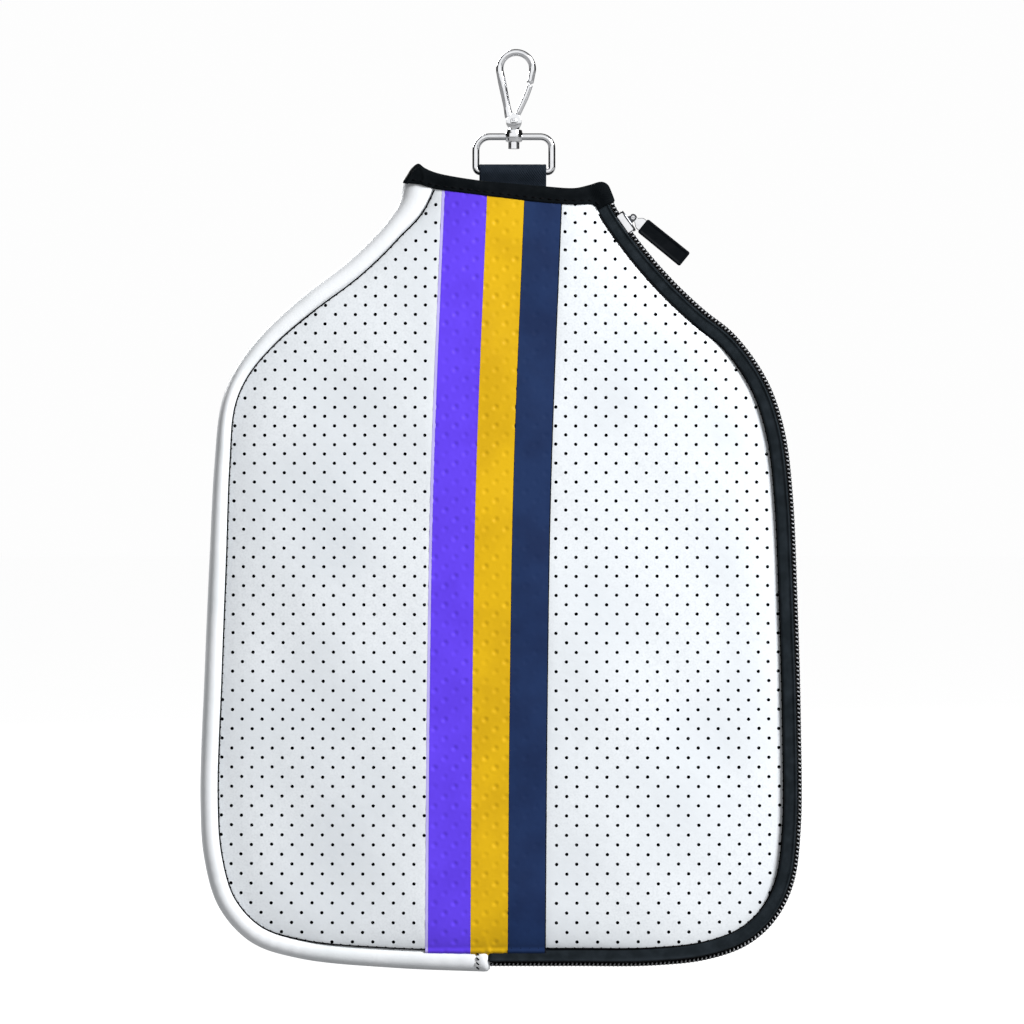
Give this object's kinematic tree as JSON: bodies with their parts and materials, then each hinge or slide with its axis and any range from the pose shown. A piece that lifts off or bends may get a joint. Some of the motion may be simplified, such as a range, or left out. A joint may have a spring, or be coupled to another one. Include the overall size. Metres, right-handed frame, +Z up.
{
  "type": "paddle case",
  "caption": "Padded racket-shaped paddle case with a perforated shell, pressed stripes, a curved side zip and a swivel snap hook on a webbing tab.",
  "frame": {"origin": "the inside of the crown of the snap hook's bow, where the case hangs from a bar", "axes": "+Z up, away from the case's base; -Y out of the striped front face; +X towards the zip"},
  "size_m": [0.2246, 0.0222, 0.3446],
  "materials": {
    "shell_fabric": "perforated white shell, satin",
    "shell_strip": "smooth white strip, semi-gloss",
    "padding": "foam padding, matte",
    "stripe_purple": "heat-pressed film, satin",
    "stripe_gold": "heat-pressed film, satin",
    "stripe_navy": "heat-pressed film, satin",
    "binding_fabric": "woven, near black",
    "coil": "coil zip, satin",
    "chrome": "plated, polished",
    "rubber": "moulded, matte"
  },
  "bodies": {
    "hook": {"hook_body": "chrome", "swivel_post": "chrome", "gate_rivet": "chrome", "gate_spring": "chrome"},
    "gate": {"gate": "chrome"},
    "ring": {"ring": "chrome"},
    "case": {"front_skin": "shell_fabric", "front_padding": "padding", "back_skin": "shell_fabric", "back_padding": "padding", "stripe_purple": "stripe_purple", "stripe_gold": "stripe_gold", "stripe_navy": "stripe_navy", "edge_strip": "shell_strip", "strip_bartack": "binding_fabric", "mouth_binding": "binding_fabric", "zip_tape_back": "binding_fabric", "zip_tape_front": "binding_fabric", "zip_coil_back": "coil", "zip_coil_front": "coil", "webbing_loop": "binding_fabric", "webbing_thread": "binding_fabric"},
    "corner": {"front_skin_corner": "shell_fabric", "front_padding_corner": "padding", "stripe_gold_corner": "stripe_gold", "stripe_navy_corner": "stripe_navy", "mouth_binding_corner": "binding_fabric", "zip_tape_corner": "binding_fabric", "zip_coil_corner": "coil"},
    "slider": {"slider_body": "chrome", "slider_bridge_pin": "chrome"},
    "puller": {"pull_leaf": "chrome", "pull_tab": "rubber"}
  },
  "joints": [
    {"name": "gate_hinge", "type": "hinge", "parent": "hook", "child": "gate", "pos_m": [0, 0, -0.0246], "axis": [0, -1, 0], "range_deg": [0, 18], "stiffness_Nm_per_rad": 0.06, "springref_deg": -17.19},
    {"name": "hook_swivel", "type": "hinge", "parent": "hook", "child": "ring", "pos_m": [0, 0, -0.03], "axis": [0, 0, 1], "continuous": true},
    {"name": "ring_tilt", "type": "hinge", "parent": "ring", "child": "case", "pos_m": [0, 0, -0.0433], "axis": [1, 0, 0], "range_deg": [-80, 80]},
    {"name": "zip_travel", "type": "hinge", "parent": "case", "child": "slider", "pos_m": [0.18334, -0.0025, 0.03562], "axis": [0, -1, 0], "range_deg": [0, 17]},
    {"name": "pull_swing", "type": "hinge", "parent": "slider", "child": "puller", "pos_m": [0.04448, -0.0025, -0.06053], "axis": [0, -1, 0], "range_deg": [0, 140]},
    {"name": "corner_fold", "type": "hinge", "parent": "case", "child": "corner", "pos_m": [-0.029, -0.01, -0.0441], "axis": [0.8856, 0, -0.4645], "range_deg": [0, 50], "deforming": ["zip_tape_corner", "zip_coil_corner"]}
  ],
  "couplings": [
    {"joint": "corner_fold", "follows": "zip_travel", "ratio": 2.94}
  ]
}
